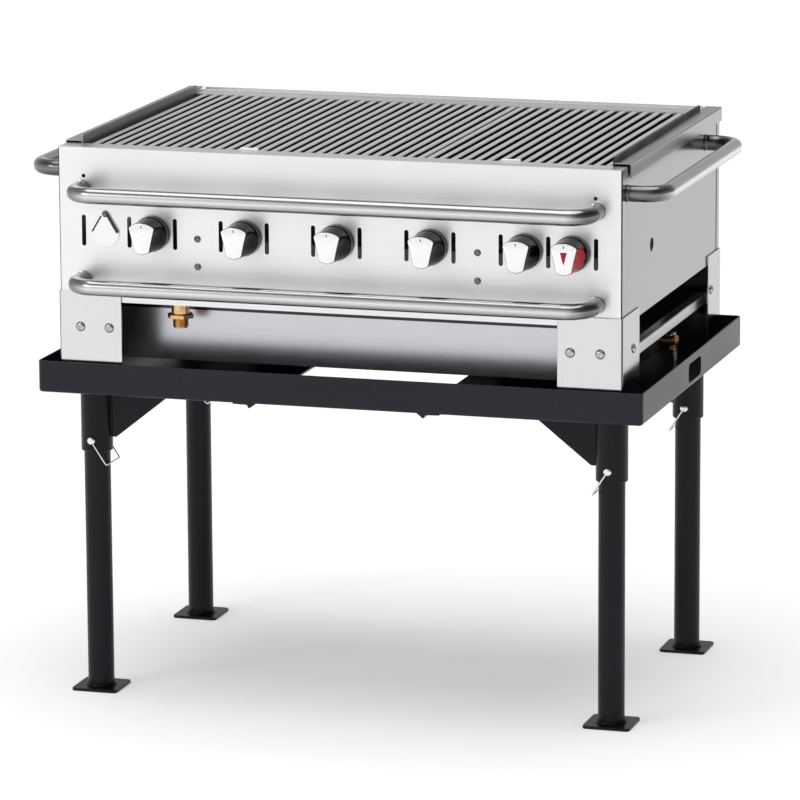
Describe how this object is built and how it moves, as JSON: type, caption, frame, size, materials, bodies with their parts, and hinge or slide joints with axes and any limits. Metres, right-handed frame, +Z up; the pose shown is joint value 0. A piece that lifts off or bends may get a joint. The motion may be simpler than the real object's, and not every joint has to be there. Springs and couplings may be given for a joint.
{
  "type": "charbroiler grill",
  "caption": "Free-standing gas charbroiler: stainless body with round-bar handles, knobs, lift-out bar grates and water tub, on a black tray stand with pinned tube legs.",
  "frame": {"origin": "middle of the whole object's footprint, on the floor", "axes": "+X to the right seen from the front, +Y to the back, +Z up"},
  "size_m": [1.0494, 0.7218, 0.905],
  "materials": {
    "stainless_sheet": "brushed along X",
    "stainless_tube": "satin polished tube",
    "grate_steel": "satin bars",
    "powder_coat": "fine matt powder coat",
    "knob_black": "gloss, with a chromed face",
    "knob_red": "gloss, with a chromed face",
    "zinc_wire": "bright zinc plate",
    "brass": "machined, lightly tarnished",
    "dark_iron": "dark, heat-stained"
  },
  "bodies": {
    "root": {"stand_tray": "powder_coat", "leg_socket_front_left": "powder_coat", "leg_front_left": "powder_coat", "lock_pin_front_left": "zinc_wire", "corner_bracket_front_left": "stainless_sheet", "leg_socket_front_right": "powder_coat", "leg_front_right": "powder_coat", "lock_pin_front_right": "zinc_wire", "corner_bracket_front_right": "stainless_sheet", "leg_socket_back_left": "powder_coat", "leg_back_left": "powder_coat", "lock_pin_back_left": "zinc_wire", "corner_bracket_back_left": "stainless_sheet", "leg_socket_back_right": "powder_coat", "leg_back_right": "powder_coat", "lock_pin_back_right": "zinc_wire", "corner_bracket_back_right": "stainless_sheet", "front_panel": "stainless_sheet", "back_panel": "stainless_sheet", "side_panel_right": "stainless_sheet", "side_panel_left": "stainless_sheet", "side_rail_right": "stainless_sheet", "side_rail_left": "stainless_sheet", "front_handle_upper": "stainless_tube", "front_handle_lower": "stainless_tube", "side_handle_right": "stainless_tube", "side_handle_left": "stainless_tube", "gas_manifold": "dark_iron", "gas_inlet": "brass", "burner_1": "dark_iron", "burner_2": "dark_iron", "burner_3": "dark_iron", "burner_4": "dark_iron", "burner_5": "dark_iron", "front_baffle": "stainless_sheet", "radiant_rack": "dark_iron", "water_tub": "stainless_sheet", "tub_runner_right": "stainless_sheet", "tub_runner_left": "stainless_sheet", "drain_valve": "brass"},
    "bail_front_left": {"wire_bail_front_left": "zinc_wire"},
    "bail_front_right": {"wire_bail_front_right": "zinc_wire"},
    "bail_back_left": {"wire_bail_back_left": "zinc_wire"},
    "bail_back_right": {"wire_bail_back_right": "zinc_wire"},
    "grate_left": {"grate_left": "grate_steel"},
    "grate_right": {"grate_right": "grate_steel"},
    "stem_1": {"valve_stem_1": "zinc_wire"},
    "knob_1": {"burner_knob_1": "knob_black"},
    "stem_2": {"valve_stem_2": "zinc_wire"},
    "knob_2": {"burner_knob_2": "knob_black"},
    "stem_3": {"valve_stem_3": "zinc_wire"},
    "knob_3": {"burner_knob_3": "knob_black"},
    "stem_4": {"valve_stem_4": "zinc_wire"},
    "knob_4": {"burner_knob_4": "knob_black"},
    "stem_5": {"valve_stem_5": "zinc_wire"},
    "knob_5": {"burner_knob_5": "knob_black"},
    "main_stem": {"main_valve_stem": "zinc_wire"},
    "main_knob": {"main_valve_knob": "knob_red"},
    "flap": {"match_flap": "stainless_sheet"},
    "lever": {"drain_lever": "brass"}
  },
  "joints": [
    {"name": "bail_swing_front_left", "type": "hinge", "parent": "root", "child": "bail_front_left", "pos_m": [-0.4255, -0.24455, 0.412], "axis": [-0.8387, 0, -0.5446], "range_deg": [0, 100], "stiffness_Nm_per_rad": 0.02, "springref_deg": -17.19},
    {"name": "bail_swing_front_right", "type": "hinge", "parent": "root", "child": "bail_front_right", "pos_m": [0.4255, -0.24455, 0.412], "axis": [-0.8387, 0, 0.5446], "range_deg": [0, 100], "stiffness_Nm_per_rad": 0.02, "springref_deg": -17.19},
    {"name": "bail_swing_back_left", "type": "hinge", "parent": "root", "child": "bail_back_left", "pos_m": [-0.4255, 0.24865, 0.412], "axis": [-0.8387, 0, -0.5446], "range_deg": [0, 100], "stiffness_Nm_per_rad": 0.02, "springref_deg": -17.19},
    {"name": "bail_swing_back_right", "type": "hinge", "parent": "root", "child": "bail_back_right", "pos_m": [0.4255, 0.24865, 0.412], "axis": [-0.8387, 0, 0.5446], "range_deg": [0, 100], "stiffness_Nm_per_rad": 0.02, "springref_deg": -17.19},
    {"name": "grate_lift_left", "type": "slide", "parent": "root", "child": "grate_left", "axis": [0, 0, 1], "range_m": [0, 0.25]},
    {"name": "grate_lift_right", "type": "slide", "parent": "root", "child": "grate_right", "axis": [0, 0, 1], "range_m": [0, 0.25]},
    {"name": "knob_push_1", "type": "slide", "parent": "root", "child": "stem_1", "axis": [0, 1, 0], "range_m": [0, 0.0035], "stiffness_N_per_m": 800, "springref_m": -0.003},
    {"name": "knob_turn_1", "type": "hinge", "parent": "stem_1", "child": "knob_1", "pos_m": [-0.303, -0.30925, 0.7604], "axis": [0, -1, 0], "range_deg": [0, 180]},
    {"name": "knob_push_2", "type": "slide", "parent": "root", "child": "stem_2", "axis": [0, 1, 0], "range_m": [0, 0.0035], "stiffness_N_per_m": 800, "springref_m": -0.003},
    {"name": "knob_turn_2", "type": "hinge", "parent": "stem_2", "child": "knob_2", "pos_m": [-0.1515, -0.30925, 0.7604], "axis": [0, -1, 0], "range_deg": [0, 180]},
    {"name": "knob_push_3", "type": "slide", "parent": "root", "child": "stem_3", "axis": [0, 1, 0], "range_m": [0, 0.0035], "stiffness_N_per_m": 800, "springref_m": -0.003},
    {"name": "knob_turn_3", "type": "hinge", "parent": "stem_3", "child": "knob_3", "pos_m": [0, -0.30925, 0.7604], "axis": [0, -1, 0], "range_deg": [0, 180]},
    {"name": "knob_push_4", "type": "slide", "parent": "root", "child": "stem_4", "axis": [0, 1, 0], "range_m": [0, 0.0035], "stiffness_N_per_m": 800, "springref_m": -0.003},
    {"name": "knob_turn_4", "type": "hinge", "parent": "stem_4", "child": "knob_4", "pos_m": [0.1515, -0.30925, 0.7604], "axis": [0, -1, 0], "range_deg": [0, 180]},
    {"name": "knob_push_5", "type": "slide", "parent": "root", "child": "stem_5", "axis": [0, 1, 0], "range_m": [0, 0.0035], "stiffness_N_per_m": 800, "springref_m": -0.003},
    {"name": "knob_turn_5", "type": "hinge", "parent": "stem_5", "child": "knob_5", "pos_m": [0.303, -0.30925, 0.7604], "axis": [0, -1, 0], "range_deg": [0, 180]},
    {"name": "main_knob_push", "type": "slide", "parent": "root", "child": "main_stem", "axis": [0, 1, 0], "range_m": [0, 0.0035], "stiffness_N_per_m": 800, "springref_m": -0.003},
    {"name": "main_knob_turn", "type": "hinge", "parent": "main_stem", "child": "main_knob", "pos_m": [0.379, -0.30925, 0.7604], "axis": [0, -1, 0], "range_deg": [0, 90]},
    {"name": "flap_swing", "type": "hinge", "parent": "root", "child": "flap", "pos_m": [-0.3805, -0.28425, 0.788], "axis": [0, -1, 0], "range_deg": [-90, 90]},
    {"name": "drain_lever_turn", "type": "hinge", "parent": "root", "child": "lever", "pos_m": [0.445, 0.09775, 0.567], "axis": [0, 0, 1], "range_deg": [0, 90]}
  ]
}
